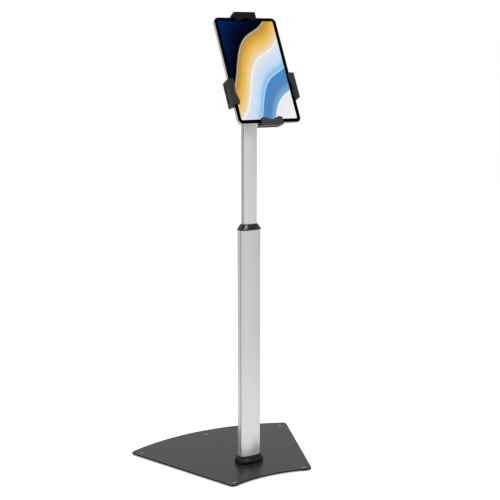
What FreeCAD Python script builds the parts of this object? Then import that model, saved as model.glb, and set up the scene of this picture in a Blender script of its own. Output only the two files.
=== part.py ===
import FreeCAD, Part
import math
import os
from FreeCAD import Vector

# Tablet floor stand: steel base on levelling studs, two-part aluminium column, tilting and turning
# four-jaw holder with a tablet in it. Millimetres. The origin is on the floor, on the column's axis.
# +Z is up, the front of the stand faces -Y and +X is to the right of someone who faces the screen.

# Base plate
plate_thickness = 4.0
plate_back_half_width = 229.0
plate_back_corner_y = 199.5
plate_back_sagitta = 52.6
plate_front_half_width = 109.0
plate_front_corner_y = -117.3
plate_front_sagitta = 19.5
plate_corner_radius = 11.0
plate_edge_bevel = 0.5

# Levelling studs and their pads
stud_radius = 4.0
stud_flange_radius = 5.5
stud_flange_height = 1.2
stud_sink = 1.7
stud_socket_width = 4.0
stud_socket_depth = 3.0
stud_hole_bevel = 1.0
pad_radius = 9.5
pad_floor = 1.0
pad_height = 2.7
pad_gap = 0.3
back_foot_inset_x = 26.0
back_foot_inset_y = 13.5
middle_foot_inset = 23.6
front_foot_inset_x = 12.5
front_foot_inset_y = 18.3

# Lower column section and length
lower_width = 54.0
lower_flat = 15.2
lower_bulge = 5.5
lower_wall = 2.0
lower_length = 577.0
column_edge_radius = 1.0

# Foot of the column
plug_height = 60.0
plug_pocket_width = 9.0
plug_pocket_floor = 30.0
base_screw_radius = 3.0
base_screw_head_radius = 5.8
base_screw_length = 22.0
base_screw_spacing = 16.0
column_screw_radius = 2.0
column_screw_head_radius = 3.6
column_screw_head_height = 1.6
column_screw_length = 9.0
column_screw_spacing = 12.0
column_screw_height = 8.0
boot_height = 18.5
boot_belly_height = 5.0
boot_foot_grow = 4.8
boot_belly_grow = 6.2
boot_top_grow = 1.0
boot_belly_bulge = 2.5
boot_wall = 2.0

# Finger hollows of the hand knobs, as shares of the knob's and the hollow's radius
knob_lobes = 6
knob_hollow_share = 0.36
knob_hollow_shift = 0.62
knob_edge_round = 1.5

# Upper column
upper_width = 36.6
upper_flat = 9.9
upper_bulge = 3.7
upper_wall = 1.8
upper_length = 445.0
upper_engaged = 179.0
plug_flange_height = 2.0
head_plug_depth = 40.0

# Telescoping joint
collar_rim_height = 3.0
collar_height = 14.5
collar_rim_grow = 0.8
collar_top_grow = 1.6
collar_skirt = 10.0
bush_length = 52.0
tail_bush_length = 25.0
tail_bush_floor = 2.0
slide_gap = 0.3
seat_gap = 0.05

# Height clamp
clamp_drop = 28.0
clamp_boss_radius = 9.0
clamp_boss_stand = 5.0
clamp_screw_radius = 3.0
clamp_knob_radius = 12.5
clamp_knob_height = 12.4
clamp_knob_gap = 0.3
clamp_screw_bite = 8.0
brake_width = 16.0
brake_height = 20.0
brake_thickness = 1.2
brake_gap = 0.15

# Tilting head
pivot_above_column = 32.0
rest_tilt = 27.14
bracket_base_height = 6.0
bracket_half_depth = 11.0
bracket_cheek = 5.0
bracket_cheek_radius = 12.0
bracket_screw_radius = 2.5
bracket_screw_head_radius = 4.8
bracket_screw_length = 22.0
bracket_screw_spacing = 9.0
tilt_bolt_radius = 4.0
tilt_bolt_head_width = 13.0
tilt_bolt_head_height = 5.3
tilt_knob_radius = 14.0
tilt_knob_height = 15.0
tilt_knob_gap = 0.3
tilt_knob_cap = 1.0
tilt_bolt_end_gap = 1.0
tilt_washer_radius = 11.0
tilt_washer_gap = 0.02
tilt_washer_space = 1.0
block_width = 26.0
block_round_radius = 11.0
flange_radius = 24.0
flange_thickness = 6.7
turn_bolt_radius = 4.0
turn_bolt_head_width = 13.0
turn_bolt_head_height = 4.1
turn_bolt_bite = 19.0
turn_washer_radius = 14.0
turn_washer_thickness = 1.0
turn_spring_radius = 7.6
turn_spring_thickness = 1.0
stop_pin_radius = 2.0
stop_pin_circle = 18.0
stop_pin_bite = 5.7
stop_groove_gap = 0.3
turn_half_range = 90.0
running_gap = 0.05

# Tablet, upright in the holder
tablet_width = 163.0
tablet_height = 263.0
tablet_thickness = 8.0
tablet_corner_radius = 12.0
tablet_back_round = 2.0
tablet_back_wall = 1.0
tablet_side_wall = 3.0
tablet_rim = 0.8
tablet_glass_thickness = 0.8
tablet_display_thickness = 2.0
tablet_display_inset = 1.8
tablet_fit_gap = 0.1
tablet_above_holder = 50.0
tablet_from_pivot = 61.7

# Holder housing, from the tablet's back towards the pivot
housing_width = 104.0
housing_height = 116.0
housing_corner_radius = 12.0
housing_wall = 2.5
housing_pad_thickness = 2.0
housing_pad_radius = 6.0
housing_pad_inset = 14.0
hub_height = 2.0
hub_seat_height = 1.0
front_rib_height = 1.4
side_rib_width = 6.0
side_rib_inset = 5.0
side_guide_wall = 2.2
arm_thickness = 4.0
layer_gap = 0.3
guide_plate_thickness = 1.4
guide_plate_half_width = 38.5
guide_plate_half_height = 54.0
rear_space = 6.3
cup_radius = 8.1
cup_wall = 1.9
cup_front_gap = 1.0
housing_screw_radius = 1.5
housing_screw_head_radius = 2.9
housing_screw_head_height = 1.8
housing_screw_length = 16.0
housing_screw_hole_spare = 0.5
housing_boss_radius = 4.5
housing_boss_inset = 8.0

# Rack and pinion of the side arms
gear_module = 1.25
pinion_teeth = 16
pressure_angle = 20.0
gear_backlash = 0.3
rack_tooth_overlap = 0.5
pinion_side_gap = 0.1
pinion_pin_radius = 3.0
pinion_hub_radius = 4.3
pinion_hub_length = 3.9
pinion_pin_head_radius = 5.0
pinion_pin_head_height = 0.9
pinion_pin_bite = 1.6
spring_strip = 0.35
spring_half_turn_step = 0.55
spring_half_turns = 5
spring_inner_radius = 4.65
spring_width = 3.2

# Arms
side_arm_half_width = 22.0
side_arm_inner_end = 36.0
side_rack_reach = 32.0
side_rack_end_flat = 0.8
upright_arm_half_width = 14.0
upright_arm_tail = 12.0
upright_arm_joggle = 8.0
bottom_joggle_start = 61.0
top_joggle_start = 67.0
arm_slot_width = 8.0
arm_slot_length = 60.0
guide_block_start = 26.0
guide_block_wall = 3.0
arm_side_gap = 0.3
thumb_screw_height = 40.0
thumb_screw_radius = 2.5
thumb_tip_gap = 0.02
thumb_head_radius = 9.0
thumb_head_height = 8.0

# Jaws. The side jaws and the top jaw sit off the middle of their arms. The outer walls slope inwards towards
# the back. The lip's edge has a larger hump near one end and a smaller one near the other.
side_jaw_length = 62.5
side_jaw_wall = 8.0
side_jaw_slope = 1.5
side_jaw_offset = 6.4
side_lip_humps = (10.2, 7.4)
end_jaw_length = 55.5
top_jaw_wall = 11.6
top_jaw_offset = 3.0
bottom_jaw_wall = 8.2
end_jaw_slope = 4.8
end_lip_humps = (11.6, 10.4)
jaw_pad_thickness = 1.5
jaw_grip_gap = 0.2
jaw_lip_above_glass = 10.0
jaw_lip_thickness = 4.0
jaw_lip_dip = 5.0
jaw_hump_place = 0.35
jaw_lip_corner_share = 0.78
jaw_foot_reach = 14.0
jaw_pad_reach = 12.0
jaw_pad_foot_thickness = 1.9
jaw_pad_end_inset = 2.0
jaw_outer_round = 3.0
jaw_inner_round = 1.2
jaw_end_round = 3.0
jaw_recess_depth = 1.0
jaw_recess_half_width = 20.0
jaw_tongue_end = 3.0
jaw_tongue_gap = 0.1
jaw_screw_radius = 1.5
jaw_screw_hole_spare = 0.3
jaw_screw_head_radius = 2.8
jaw_screw_head_height = 1.8
jaw_screw_length = 7.2
jaw_screw_spacing = 8.0
jaw_screw_inset = 6.0

# Heights that follow from the sizes above
plate_bottom = pad_height + pad_gap
plate_top = plate_bottom + plate_thickness
lower_top = plate_top + lower_length
clamp_z = lower_top - clamp_drop
upper_bottom = lower_top - upper_engaged
upper_top = upper_bottom + upper_length
bracket_bottom = upper_top + plug_flange_height
pivot_z = upper_top + pivot_above_column
pivot = Vector(0, 0, pivot_z)

# Layers of the holder along its own Y, where the pivot is 0 and the screen faces -Y
tablet_back = -tablet_from_pivot
housing_front = tablet_back + housing_pad_thickness
front_wall_inside = housing_front + housing_wall
side_layer_front = front_wall_inside + front_rib_height + layer_gap
side_layer_back = side_layer_front + arm_thickness
guide_plate_front = side_layer_back + layer_gap
guide_plate_back = guide_plate_front + guide_plate_thickness
upright_layer_front = guide_plate_back + layer_gap
upright_layer_back = upright_layer_front + arm_thickness
parting = guide_plate_back
rear_wall_inside = upright_layer_back + rear_space
housing_back = rear_wall_inside + housing_wall
hub_back = housing_back + hub_height
hub_inside = rear_wall_inside - hub_seat_height
flange_front = hub_back + turn_washer_thickness
flange_back = flange_front + flange_thickness
glass_front = tablet_back - tablet_thickness

pitch_radius = gear_module * pinion_teeth / 2
gear_pitch = math.pi * gear_module
gear_addendum = gear_module
gear_dedendum = 1.25 * gear_module

AXIS_X = Vector(1, 0, 0)
AXIS_Y = Vector(0, 1, 0)
AXIS_Z = Vector(0, 0, 1)


def line(start, end):
    return Part.LineSegment(start, end).toShape()


def arc(start, middle, end):
    return Part.Arc(start, middle, end).toShape()


def box(low, high):
    """Box between two opposite corners."""
    size = Vector(*high) - Vector(*low)
    return Part.makeBox(size.x, size.y, size.z, Vector(*low))


def rod_y(radius, start, end, x=0.0, z=0.0):
    """Cylinder along Y between two Y places."""
    low = min(start, end)
    return Part.makeCylinder(radius, abs(end - start), Vector(x, low, z), AXIS_Y)


def rod_x(radius, start, end):
    """Cylinder along X, on the tilt axis, between two X places."""
    return Part.makeCylinder(radius, end - start, Vector(start, 0, 0), AXIS_X)


def rod_z(radius, start, end, x=0.0, y=0.0):
    """Cylinder along Z between two heights."""
    return Part.makeCylinder(radius, end - start, Vector(x, y, start), AXIS_Z)


def polygon(points):
    """Flat face inside a closed line of points."""
    return Part.Face(Part.makePolygon(points + [points[0]]))


def hexagon(width, place, direction, height):
    """Hexagonal prism, width across its flats, from place along direction."""
    radius = width / math.sqrt(3)
    points = [Vector(radius * math.cos(math.radians(60 * i)), radius * math.sin(math.radians(60 * i)), 0)
              for i in range(6)]
    prism = polygon(points).extrude(Vector(0, 0, height))
    prism.Placement = FreeCAD.Placement(place, FreeCAD.Rotation(AXIS_Z, direction))
    return prism


def rounded_slab(half_width, half_height, radius, y_front, y_back):
    """Slab across Y with four rounded corners in its X and Z outline."""
    slab = box((-half_width, y_front, -half_height), (half_width, y_back, half_height))
    corners = [e for e in slab.Edges if abs(e.Vertexes[0].Y - e.Vertexes[1].Y) > 1e-6]
    return slab.makeFillet(radius, corners)


def column_wire(width, flat, bulge, grow=0.0, z=0.0):
    """Closed outline of a column: flat sides, and arcs of one radius in front and behind.
    grow moves every side outwards by the same distance, so that walls and gaps stay even."""
    radius = (width ** 2 / 4 + bulge ** 2) / (2 * bulge)
    centre = flat / 2 + bulge - radius
    radius += grow
    half = width / 2 + grow
    corner = centre + math.sqrt(radius ** 2 - half ** 2)
    apex = centre + radius
    back = arc(Vector(half, corner, z), Vector(0, apex, z), Vector(-half, corner, z))
    left = line(Vector(-half, corner, z), Vector(-half, -corner, z))
    front = arc(Vector(-half, -corner, z), Vector(0, -apex, z), Vector(half, -corner, z))
    right = line(Vector(half, -corner, z), Vector(half, corner, z))
    return Part.Wire([back, left, front, right])


def lower_wire(grow, z):
    return column_wire(lower_width, lower_flat, lower_bulge, grow, z)


def upper_wire(grow, z):
    return column_wire(upper_width, upper_flat, upper_bulge, grow, z)


def prism(wire, height):
    return Part.Face(wire).extrude(Vector(0, 0, height))


def lower_prism(grow, bottom, top):
    return prism(lower_wire(grow, bottom), top - bottom)


def upper_prism(grow, bottom, top):
    return prism(upper_wire(grow, bottom), top - bottom)


def round_upright_edges(shape, radius):
    """Rounds the four long corner edges of a column."""
    upright = [e for e in shape.Edges if len(e.Vertexes) == 2
               and abs(e.Vertexes[0].X - e.Vertexes[1].X) < 1e-6
               and abs(e.Vertexes[0].Y - e.Vertexes[1].Y) < 1e-6]
    return shape.makeFillet(radius, upright)


def countersunk_screw(shank_radius, head_radius, length):
    """Screw along +Z whose flat head lies at 0, with a cone of 90 degrees under it."""
    cone_height = head_radius - shank_radius
    cone = Part.makeCone(head_radius, shank_radius, cone_height)
    socket = hexagon(shank_radius, Vector(0, 0, 0), AXIS_Z, cone_height)
    return cone.fuse(rod_z(shank_radius, 0, length)).cut(socket)


def lobed_knob(radius, height):
    """Hand knob along +Z with finger hollows round its rim and a rounded outer edge."""
    body = rod_z(radius, 0, height)
    rim = [e for e in body.Edges if len(e.Vertexes) == 1 and e.Vertexes[0].Z > height / 2]
    body = body.makeFillet(knob_edge_round, rim)
    hollow_radius = knob_hollow_share * radius
    reach = radius + knob_hollow_shift * hollow_radius
    for i in range(knob_lobes):
        angle = 2 * math.pi * i / knob_lobes
        hollow = rod_z(hollow_radius, -1, height + 1, reach * math.cos(angle), reach * math.sin(angle))
        body = body.cut(hollow)
    return body


def along(shape, place, direction):
    """Turns a shape made along +Z to another direction and puts its origin at place."""
    moved = shape.copy()
    moved.Placement = FreeCAD.Placement(place, FreeCAD.Rotation(AXIS_Z, direction))
    return moved


def on_head(shape):
    """Moves a shape from the head's own frame, upright at the pivot, to its place, tilted back."""
    placed = shape.copy()
    placed.rotate(Vector(0, 0, 0), AXIS_X, -rest_tilt)
    placed.translate(pivot)
    return placed


def save(name, shape):
    """Writes one node. A node is one solid or a group of separate ones."""
    solids = shape.Solids
    clean = solids[0] if len(solids) == 1 else Part.makeCompound(solids)
    assert clean.isValid(), name
    clean.exportStep("parts/" + name + ".step")
    print(f"{name:22s} solids {len(solids)} volume {sum(s.Volume for s in solids):12.2f}")


# Base plate and levelling feet
def foot_places():
    """X and Y of the five feet, set in from the plate's corners and from the middle of its back edge."""
    back_x = plate_back_half_width - back_foot_inset_x
    back_y = plate_back_corner_y - back_foot_inset_y
    front_x = plate_front_half_width - front_foot_inset_x
    front_y = plate_front_corner_y + front_foot_inset_y
    middle_y = plate_back_corner_y + plate_back_sagitta - middle_foot_inset
    return [(-back_x, back_y), (0.0, middle_y), (back_x, back_y), (front_x, front_y), (-front_x, front_y)]


def base_screw_places():
    return [-base_screw_spacing, 0.0, base_screw_spacing]


def make_base_plate():
    z = plate_bottom
    back_apex = plate_back_corner_y + plate_back_sagitta
    front_apex = plate_front_corner_y + plate_front_sagitta
    back_left = Vector(-plate_back_half_width, plate_back_corner_y, z)
    back_right = Vector(plate_back_half_width, plate_back_corner_y, z)
    front_left = Vector(-plate_front_half_width, plate_front_corner_y, z)
    front_right = Vector(plate_front_half_width, plate_front_corner_y, z)
    outline = Part.Wire([arc(back_left, Vector(0, back_apex, z), back_right),
                         line(back_right, front_right),
                         arc(front_right, Vector(0, front_apex, z), front_left),
                         line(front_left, back_left)])
    plate = prism(outline, plate_thickness)
    plate = round_upright_edges(plate, plate_corner_radius)
    rim = [e for e in plate.Edges if min(v.Z for v in e.Vertexes) > plate_top - 1e-6]
    plate = plate.makeChamfer(plate_edge_bevel, rim)
    for x, y in foot_places():
        hole_radius = stud_radius + running_gap
        plate = plate.cut(rod_z(hole_radius, plate_bottom - 1, plate_top + 1, x, y))
        mouth = Part.makeCone(hole_radius, hole_radius + stud_hole_bevel, stud_hole_bevel,
                              Vector(x, y, plate_top - stud_hole_bevel))
        plate = plate.cut(mouth)
    for x in base_screw_places():
        plate = plate.cut(rod_z(base_screw_radius + seat_gap, plate_bottom - 1, plate_top + 1, x))
        cone_height = base_screw_head_radius - base_screw_radius
        plate = plate.cut(Part.makeCone(base_screw_head_radius + seat_gap, base_screw_radius + seat_gap,
                                        cone_height, Vector(x, 0, plate_bottom)))
    return plate


def make_foot_stud(x, y):
    top = plate_top - stud_sink
    stud = rod_z(stud_radius, pad_floor, top, x, y)
    stud = stud.fuse(rod_z(stud_flange_radius, pad_floor, pad_floor + stud_flange_height, x, y))
    socket = hexagon(stud_socket_width, Vector(x, y, top - stud_socket_depth), AXIS_Z, stud_socket_depth)
    return stud.cut(socket)


def make_foot_pads():
    pads = []
    for x, y in foot_places():
        pad = rod_z(pad_radius, 0, pad_height, x, y)
        pads.append(pad.cut(rod_z(stud_flange_radius + pad_gap, pad_floor, pad_height, x, y)))
    return Part.makeCompound(pads)


def make_base_screws():
    screw = countersunk_screw(base_screw_radius, base_screw_head_radius, base_screw_length)
    return Part.makeCompound([along(screw, Vector(x, 0, plate_bottom), AXIS_Z) for x in base_screw_places()])


def column_screw_z():
    return plate_top + column_screw_height


def lower_back_y(x, grow=0.0):
    """Y of the lower column's back face at x, moved outwards by grow."""
    radius = (lower_width ** 2 / 4 + lower_bulge ** 2) / (2 * lower_bulge)
    centre = lower_flat / 2 + lower_bulge - radius
    return centre + math.sqrt((radius + grow) ** 2 - x ** 2)


def upper_back_y(x, grow=0.0):
    """Y of the upper column's back face at x, moved outwards by grow."""
    radius = (upper_width ** 2 / 4 + upper_bulge ** 2) / (2 * upper_bulge)
    centre = upper_flat / 2 + upper_bulge - radius
    return centre + math.sqrt((radius + grow) ** 2 - x ** 2)


def column_screw_places():
    return [-column_screw_spacing, column_screw_spacing]


def column_screw_shank(x, radius):
    """Space or shank of one screw through the column's back wall into the insert in its foot."""
    start = lower_back_y(x)
    return rod_y(radius, start - column_screw_length, start + 1, x, column_screw_z())


def make_column_screws():
    screws = []
    for x in column_screw_places():
        head_seat = lower_back_y(abs(x) - column_screw_head_radius) + seat_gap
        tip = lower_back_y(x) - column_screw_length
        screw = rod_y(column_screw_radius, tip, head_seat, x, column_screw_z())
        head_end = head_seat + column_screw_head_height
        screws.append(screw.fuse(rod_y(column_screw_head_radius, head_seat, head_end, x, column_screw_z())))
    return Part.makeCompound(screws)


def make_column_plug():
    plug = lower_prism(-lower_wall - seat_gap, plate_top, plate_top + plug_height)
    for x in base_screw_places():
        hole_end = plate_bottom + base_screw_length + 1
        plug = plug.cut(rod_z(base_screw_radius + seat_gap, plate_top - 1, hole_end, x))
        pocket_half = plug_pocket_width / 2
        pocket_bottom = plate_top + plug_pocket_floor
        plug = plug.cut(box((x - pocket_half, -pocket_half, pocket_bottom),
                            (x + pocket_half, pocket_half, plate_top + plug_height + 1)))
    for x in column_screw_places():
        plug = plug.cut(column_screw_shank(x, column_screw_radius + seat_gap))
    return plug


def boot_wire(grow, extra_bulge, z):
    return column_wire(lower_width + 2 * grow, lower_flat + 2 * grow, lower_bulge + extra_bulge, 0.0, z)


def boot_solid(inward):
    """Boot: narrow at its foot, widest at its belly, and close to the column at its top."""
    belly_z = plate_top + boot_belly_height
    top_z = plate_top + boot_height
    foot = boot_wire(boot_foot_grow - inward, 0.0, plate_top)
    belly = boot_wire(boot_belly_grow - inward, boot_belly_bulge, belly_z)
    top = boot_wire(boot_top_grow - inward, 0.0, top_z)
    return Part.makeLoft([foot, belly], True, True).fuse(Part.makeLoft([belly, top], True, True))


def make_column_boot():
    boot = boot_solid(0.0).cut(boot_solid(boot_wall))
    return boot.cut(lower_prism(slide_gap / 2, plate_top - 1, plate_top + boot_height + 1))


def make_lower_column():
    column = round_upright_edges(lower_prism(0.0, plate_top, lower_top), column_edge_radius)
    column = column.cut(lower_prism(-lower_wall, plate_top - 1, lower_top + 1))
    column = column.cut(rod_y(clamp_screw_radius + slide_gap, 0, lower_back_y(0) + 1, 0, clamp_z))
    for x in column_screw_places():
        column = column.cut(column_screw_shank(x, column_screw_radius + seat_gap))
    return column


# Telescoping joint and height clamp
def make_column_collar():
    rim_top = lower_top + collar_rim_height
    top = lower_top + collar_height
    rim = lower_prism(collar_rim_grow, lower_top, rim_top)
    taper_ends = [lower_wire(collar_rim_grow, rim_top), upper_wire(collar_top_grow, top)]
    taper = Part.makeLoft(taper_ends, True, True)
    skirt = lower_prism(-lower_wall - seat_gap, lower_top - collar_skirt, lower_top)
    collar = rim.fuse(taper).fuse(skirt)
    return collar.cut(upper_prism(slide_gap, lower_top - collar_skirt - 1, top + 1))


def bush_top():
    return lower_top - collar_skirt


def make_guide_bush():
    top = bush_top()
    bush = lower_prism(-lower_wall - seat_gap, top - bush_length, top)
    bush = bush.cut(upper_prism(slide_gap, top - bush_length - 1, top + 1))
    half_width = brake_width / 2 + slide_gap
    half_height = brake_height / 2 + slide_gap
    return bush.cut(box((-half_width, 0, clamp_z - half_height),
                        (half_width, lower_back_y(0), clamp_z + half_height)))


def brake_back():
    return upper_back_y(0, brake_gap) + brake_thickness


def make_brake_pad():
    pad = box((-brake_width / 2, 0, clamp_z - brake_height / 2),
              (brake_width / 2, brake_back(), clamp_z + brake_height / 2))
    return pad.cut(upper_prism(brake_gap, clamp_z - brake_height, clamp_z + brake_height))


def boss_back():
    return lower_back_y(0) + clamp_boss_stand


def make_height_boss():
    boss = rod_y(clamp_boss_radius, 0, boss_back(), 0, clamp_z)
    boss = boss.cut(lower_prism(0.0, clamp_z - 2 * clamp_boss_radius, clamp_z + 2 * clamp_boss_radius))
    return boss.cut(rod_y(clamp_screw_radius + running_gap, 0, boss_back() + 1, 0, clamp_z))


def clamp_knob_start():
    return boss_back() + clamp_knob_gap


def make_height_knob():
    knob = lobed_knob(clamp_knob_radius, clamp_knob_height)
    knob = along(knob, Vector(0, clamp_knob_start(), clamp_z), AXIS_Y)
    bite =clamp_knob_start() + clamp_screw_bite
    return knob.cut(rod_y(clamp_screw_radius, clamp_knob_start() - 1, bite, 0, clamp_z))


def make_height_screw():
    return rod_y(clamp_screw_radius, brake_back(), clamp_knob_start() + clamp_screw_bite, 0, clamp_z)


# Upper column
def make_upper_column():
    column = round_upright_edges(upper_prism(0.0, upper_bottom, upper_top), column_edge_radius)
    return column.cut(upper_prism(-upper_wall, upper_bottom - 1, upper_top + 1))


def make_tail_bush():
    bottom = upper_bottom - tail_bush_floor
    top = bottom + tail_bush_length
    bush = lower_prism(-lower_wall - slide_gap, bottom, top)
    bush = bush.cut(upper_prism(seat_gap, upper_bottom, top + 1))
    return bush.cut(upper_prism(-upper_wall, bottom - 1, top + 1))


def bracket_screw_places():
    return [-bracket_screw_spacing, bracket_screw_spacing]


def bracket_screw_top():
    return bracket_bottom + bracket_base_height


def make_head_plug():
    plug = upper_prism(-upper_wall - seat_gap, upper_top - head_plug_depth, upper_top)
    plug = plug.fuse(upper_prism(0.0, upper_top, bracket_bottom))
    for x in bracket_screw_places():
        tip = bracket_screw_top() - bracket_screw_length
        plug = plug.cut(rod_z(bracket_screw_radius + seat_gap, tip - 1, bracket_bottom + 1, x))
    return plug


def cheek_inside():
    return block_width / 2 + tilt_washer_space


def cheek_outside():
    return cheek_inside() + bracket_cheek


def make_head_bracket():
    """Clevis: a foot on the column's end and two cheeks with round tops. Made at the pivot, then moved."""
    bottom = bracket_bottom - pivot_z
    foot_top = bottom + bracket_base_height
    outside = cheek_outside()
    bracket = box((-outside, -bracket_half_depth, bottom), (outside, bracket_half_depth, foot_top))
    cheek = box((-outside, -bracket_half_depth, bottom), (outside, bracket_half_depth, 0))
    cheek = cheek.fuse(rod_x(bracket_cheek_radius, -outside, outside))
    cheek = cheek.cut(box((-cheek_inside(), -2 * bracket_cheek_radius, foot_top),
                          (cheek_inside(), 2 * bracket_cheek_radius, 2 * bracket_cheek_radius)))
    bracket = bracket.fuse(cheek)
    bracket = bracket.cut(rod_x(tilt_bolt_radius + seat_gap, -outside - 1, outside + 1))
    for x in bracket_screw_places():
        bracket = bracket.cut(rod_z(bracket_screw_radius + seat_gap, bottom - 1, foot_top + 1, x))
        cone_height = bracket_screw_head_radius - bracket_screw_radius
        cone = Part.makeCone(bracket_screw_radius + seat_gap, bracket_screw_head_radius + seat_gap,
                             cone_height, Vector(x, 0, foot_top - cone_height))
        bracket = bracket.cut(cone)
    bracket.translate(pivot)
    return bracket.removeSplitter()


def make_bracket_screws():
    screw = countersunk_screw(bracket_screw_radius, bracket_screw_head_radius, bracket_screw_length)
    return Part.makeCompound([along(screw, Vector(x, 0, bracket_screw_top()), Vector(0, 0, -1))
                              for x in bracket_screw_places()])


# Tilt axle
def tilt_knob_start():
    return cheek_outside() + tilt_knob_gap


def tilt_knob_hole_end():
    return tilt_knob_start() + tilt_knob_height - tilt_knob_cap


def make_tilt_bolt():
    outside = cheek_outside()
    bolt = rod_x(tilt_bolt_radius, -outside, tilt_knob_hole_end() - tilt_bolt_end_gap)
    head = hexagon(tilt_bolt_head_width, Vector(-outside, 0, 0), Vector(-1, 0, 0), tilt_bolt_head_height)
    bolt = bolt.fuse(head)
    bolt.translate(pivot)
    return bolt


def make_tilt_washers():
    """Two friction discs, one in each gap between the block and a cheek."""
    washers = []
    for side in (-1, 1):
        start = side * (block_width / 2 + tilt_washer_gap)
        end = side * (cheek_inside() - tilt_washer_gap)
        disc = rod_x(tilt_washer_radius, min(start, end), max(start, end))
        disc = disc.cut(rod_x(tilt_bolt_radius + running_gap, min(start, end) - 1, max(start, end) + 1))
        disc.translate(pivot)
        washers.append(disc)
    return Part.makeCompound(washers)


def make_tilt_knob():
    knob = along(lobed_knob(tilt_knob_radius, tilt_knob_height), Vector(tilt_knob_start(), 0, 0), AXIS_X)
    knob = knob.cut(rod_x(tilt_bolt_radius + running_gap, 0, tilt_knob_hole_end()))
    knob.translate(pivot)
    return knob


# Tilting block and swivel, in the head's own frame
def turn_bolt_tip():
    return flange_front + turn_bolt_bite


def stop_pin_tip():
    return hub_back - (hub_height - stop_groove_gap)


def make_tilt_block():
    half = block_width / 2
    block = rod_x(block_round_radius, -half, half)
    block = block.fuse(box((-half, flange_back - 1, -block_round_radius), (half, 0, block_round_radius)))
    block = block.fuse(rod_y(flange_radius, flange_front, flange_back))
    block = block.cut(rod_x(tilt_bolt_radius + running_gap, -half - 1, half + 1))
    block = block.cut(rod_y(turn_bolt_radius + seat_gap, flange_front - 1, turn_bolt_tip() + 1))
    pin_end = flange_front + stop_pin_bite
    block = block.cut(rod_y(stop_pin_radius + seat_gap, flange_front - 1, pin_end, 0, stop_pin_circle))
    return on_head(block.removeSplitter())


def turn_head_back():
    return hub_inside - turn_spring_thickness


def make_turn_bolt():
    head_back = turn_head_back()
    bolt = rod_y(turn_bolt_radius, head_back, turn_bolt_tip())
    head = hexagon(turn_bolt_head_width, Vector(0, head_back, 0), Vector(0, -1, 0), turn_bolt_head_height)
    return on_head(bolt.fuse(head))


def make_turn_stop_pin():
    return on_head(rod_y(stop_pin_radius, stop_pin_tip(), flange_front + stop_pin_bite, 0, stop_pin_circle))


def make_turn_washer():
    washer = rod_y(turn_washer_radius, hub_back, flange_front)
    return on_head(washer.cut(rod_y(turn_bolt_radius + running_gap, hub_back - 1, flange_front + 1)))


def make_turn_spring():
    spring = rod_y(turn_spring_radius, turn_head_back(), hub_inside)
    return on_head(spring.cut(rod_y(turn_bolt_radius + running_gap, turn_head_back() - 1, hub_inside + 1)))


# Holder housing, in the head's own frame
def housing_half():
    return housing_width / 2, housing_height / 2


def housing_screw_places():
    half_x, half_z = housing_half()
    x = half_x - housing_boss_inset
    z = half_z - housing_boss_inset
    return [(x, z), (-x, z), (-x, -z), (x, -z)]


def housing_screw_seat():
    return housing_back - housing_screw_head_height


def shell(front, back, open_side):
    """Half of the housing: a tray with an even wall, open towards the other half."""
    half_x, half_z = housing_half()
    outer = rounded_slab(half_x, half_z, housing_corner_radius, front, back)
    inner_front = front if open_side == "front" else front + housing_wall
    inner_back = back if open_side == "back" else back - housing_wall
    inner = rounded_slab(half_x - housing_wall, half_z - housing_wall, housing_corner_radius - housing_wall,
                         inner_front, inner_back)
    return outer.cut(inner)


def guide_block(sign):
    """Block that guides an upright arm on its back and its two sides."""
    half = upright_arm_half_width + arm_side_gap
    outside = half + guide_block_wall
    end = housing_half()[1] - 1
    block = box((-outside, parting, guide_block_start), (outside, rear_wall_inside + 1, end))
    channel_back = upright_layer_back + layer_gap
    block = block.cut(box((-half, parting - 1, guide_block_start - 1), (half, channel_back, end + 2)))
    if sign < 0:
        block.rotate(Vector(0, 0, 0), AXIS_Y, 180)
    return block


def stop_groove():
    """Arc groove for the stop pin. It is as long as half a turn and the pin."""
    inner = stop_pin_circle - stop_pin_radius - stop_groove_gap
    outer = stop_pin_circle + stop_pin_radius + stop_groove_gap
    end_angle = math.degrees((stop_pin_radius + stop_groove_gap) / stop_pin_circle)
    ring = Part.makeCylinder(outer, hub_height + 1, Vector(0, hub_back - hub_height, 0), AXIS_Y,
                             2 * (turn_half_range + end_angle))
    groove = ring.cut(rod_y(inner, hub_back - hub_height - 1, hub_back + 2)).Solids[0]
    middle = groove.CenterOfMass
    groove.rotate(Vector(0, 0, 0), AXIS_Y, -math.degrees(math.atan2(middle.x, middle.z)))
    return groove


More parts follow.
